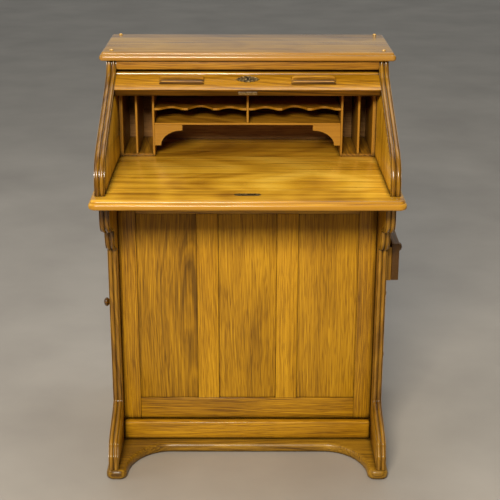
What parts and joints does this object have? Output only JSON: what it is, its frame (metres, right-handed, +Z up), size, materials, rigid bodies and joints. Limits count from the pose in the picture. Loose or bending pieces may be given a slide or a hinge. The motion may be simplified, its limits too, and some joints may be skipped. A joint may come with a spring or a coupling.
{
  "type": "roll top desk",
  "caption": "Small oak desk with an S-curved roll top over pigeonholes, a panelled front, side drawers, a side cupboard and feet on a floor board.",
  "frame": {"origin": "underside of the floor board, in the middle of its width, 0.300 m behind the front feet of the gables", "axes": "+Z up, +X to the sitter's right as seen from the front, +Y from the front to the back"},
  "size_m": [0.7796, 0.643, 1.038],
  "materials": {
    "oak_golden": "golden oak under glossy varnish",
    "oak_inside": "inner oak boards under thin varnish",
    "oak_worn": "darker handled and worn oak",
    "oak_slats": "golden oak slats on canvas",
    "aged_brass": "aged brown brass",
    "dull_steel": "dull lock steel"
  },
  "bodies": {
    "case": {"base_platform": "oak_worn", "centre_divider": "oak_inside", "door_hinge_lower": "aged_brass", "door_hinge_upper": "aged_brass", "drawer_housing": "oak_inside", "drawer_wall": "oak_inside", "end_post_left": "oak_golden", "end_post_right": "oak_golden", "front_frame": "oak_golden", "front_panel_left": "oak_golden", "front_panel_middle": "oak_golden", "front_panel_right": "oak_golden", "gable_left": "oak_golden", "gable_right": "oak_golden", "header_rail": "oak_golden", "inner_upright_left": "oak_inside", "inner_upright_right": "oak_inside", "interior_back": "oak_inside", "lower_back": "oak_inside", "lower_shelf": "oak_inside", "outer_upright_left": "oak_inside", "outer_upright_right": "oak_inside", "pigeonhole_top": "oak_inside", "side_frame_left": "oak_golden", "side_frame_right": "oak_golden", "slot_divider_left": "oak_inside", "slot_divider_right": "oak_inside", "slot_floor_left": "oak_inside", "slot_floor_right": "oak_inside", "spandrel_left": "oak_inside", "spandrel_right": "oak_inside", "strike_plate": "aged_brass", "toe_rail": "oak_golden", "top_board": "oak_golden", "upper_back": "oak_inside", "upper_shelf_left": "oak_inside", "upper_shelf_right": "oak_inside", "writing_surface": "oak_golden"},
    "curtain_rail": {"lift_rail": "oak_golden", "lift_handle_left": "oak_golden", "lift_handle_right": "oak_golden", "escutcheon": "aged_brass", "lock_case": "dull_steel"},
    "lock_bolts": {"lock_bolts": "dull_steel"},
    "cupboard_door": {"door_frame": "oak_golden", "door_panel": "oak_golden", "door_knob": "oak_worn"},
    "drawer_1": {"drawer_1": "oak_golden", "drawer_1_knob": "oak_worn"},
    "drawer_2": {"drawer_2": "oak_golden", "drawer_2_knob": "oak_worn"},
    "drawer_3": {"drawer_3": "oak_golden", "drawer_3_knob": "oak_worn"},
    "drawer_4": {"drawer_4": "oak_golden", "drawer_4_knob": "oak_worn"},
    "curtain_01": {"tambour_slat_01": "oak_slats"},
    "curtain_02": {"tambour_slats_02_to_06": "oak_slats"},
    "curtain_07": {"tambour_slat_07": "oak_slats"},
    "curtain_08": {"tambour_slat_08": "oak_slats"},
    "curtain_09": {"tambour_slats_09_to_12": "oak_slats"}
  },
  "joints": [
    {"name": "curtain_lift", "type": "hinge", "parent": "case", "child": "curtain_rail", "pos_m": [0, 0.06096, 0.54174], "axis": [1, 0, 0], "range_deg": [0, 45.21], "deforming": ["tambour_slat_01", "tambour_slats_02_to_06", "tambour_slat_07", "tambour_slat_08", "tambour_slats_09_to_12"]},
    {"name": "curtain_01_follow", "type": "hinge", "parent": "case", "child": "curtain_01", "pos_m": [0, 0.31942, -0.0135], "axis": [1, 0, 0], "range_deg": [0, 18.56]},
    {"name": "curtain_02_follow", "type": "hinge", "parent": "case", "child": "curtain_02", "pos_m": [0, 0.22369, 0.19979], "axis": [1, 0, 0], "range_deg": [0, 24.01]},
    {"name": "curtain_07_follow", "type": "hinge", "parent": "case", "child": "curtain_07", "pos_m": [0, 0.20976, 0.26655], "axis": [1, 0, 0], "range_deg": [0, 26.3]},
    {"name": "curtain_08_follow", "type": "hinge", "parent": "case", "child": "curtain_08", "pos_m": [0, 0.11852, 0.75389], "axis": [1, 0, 0], "range_deg": [0, 79.81]},
    {"name": "curtain_09_follow", "type": "hinge", "parent": "case", "child": "curtain_09", "pos_m": [0, 0.11021, 0.83858], "axis": [1, 0, 0], "range_deg": [0, 114.06]},
    {"name": "lock_bolt_slide", "type": "slide", "parent": "curtain_rail", "child": "lock_bolts", "axis": [0, -0.7097, -0.7045], "range_m": [0, 0.008]},
    {"name": "drawer_1_slide", "type": "slide", "parent": "case", "child": "drawer_1", "axis": [1, 0, 0], "range_m": [0, 0.24]},
    {"name": "drawer_2_slide", "type": "slide", "parent": "case", "child": "drawer_2", "axis": [1, 0, 0], "range_m": [-0.036, 0.204]},
    {"name": "drawer_3_slide", "type": "slide", "parent": "case", "child": "drawer_3", "axis": [1, 0, 0], "range_m": [0, 0.24]},
    {"name": "drawer_4_slide", "type": "slide", "parent": "case", "child": "drawer_4", "axis": [1, 0, 0], "range_m": [0, 0.24]},
    {"name": "cupboard_door_hinge", "type": "hinge", "parent": "case", "child": "cupboard_door", "pos_m": [-0.3531, 0.18425, 0.108], "axis": [0, 0, -1], "range_deg": [0, 100]}
  ],
  "couplings": [
    {"joint": "curtain_01_follow", "follows": "curtain_lift", "ratio": 0.41025},
    {"joint": "curtain_02_follow", "follows": "curtain_lift", "ratio": 0.53081},
    {"joint": "curtain_07_follow", "follows": "curtain_lift", "ratio": 0.58151},
    {"joint": "curtain_08_follow", "follows": "curtain_lift", "ratio": 1.7642},
    {"joint": "curtain_09_follow", "follows": "curtain_lift", "ratio": 2.5214}
  ]
}
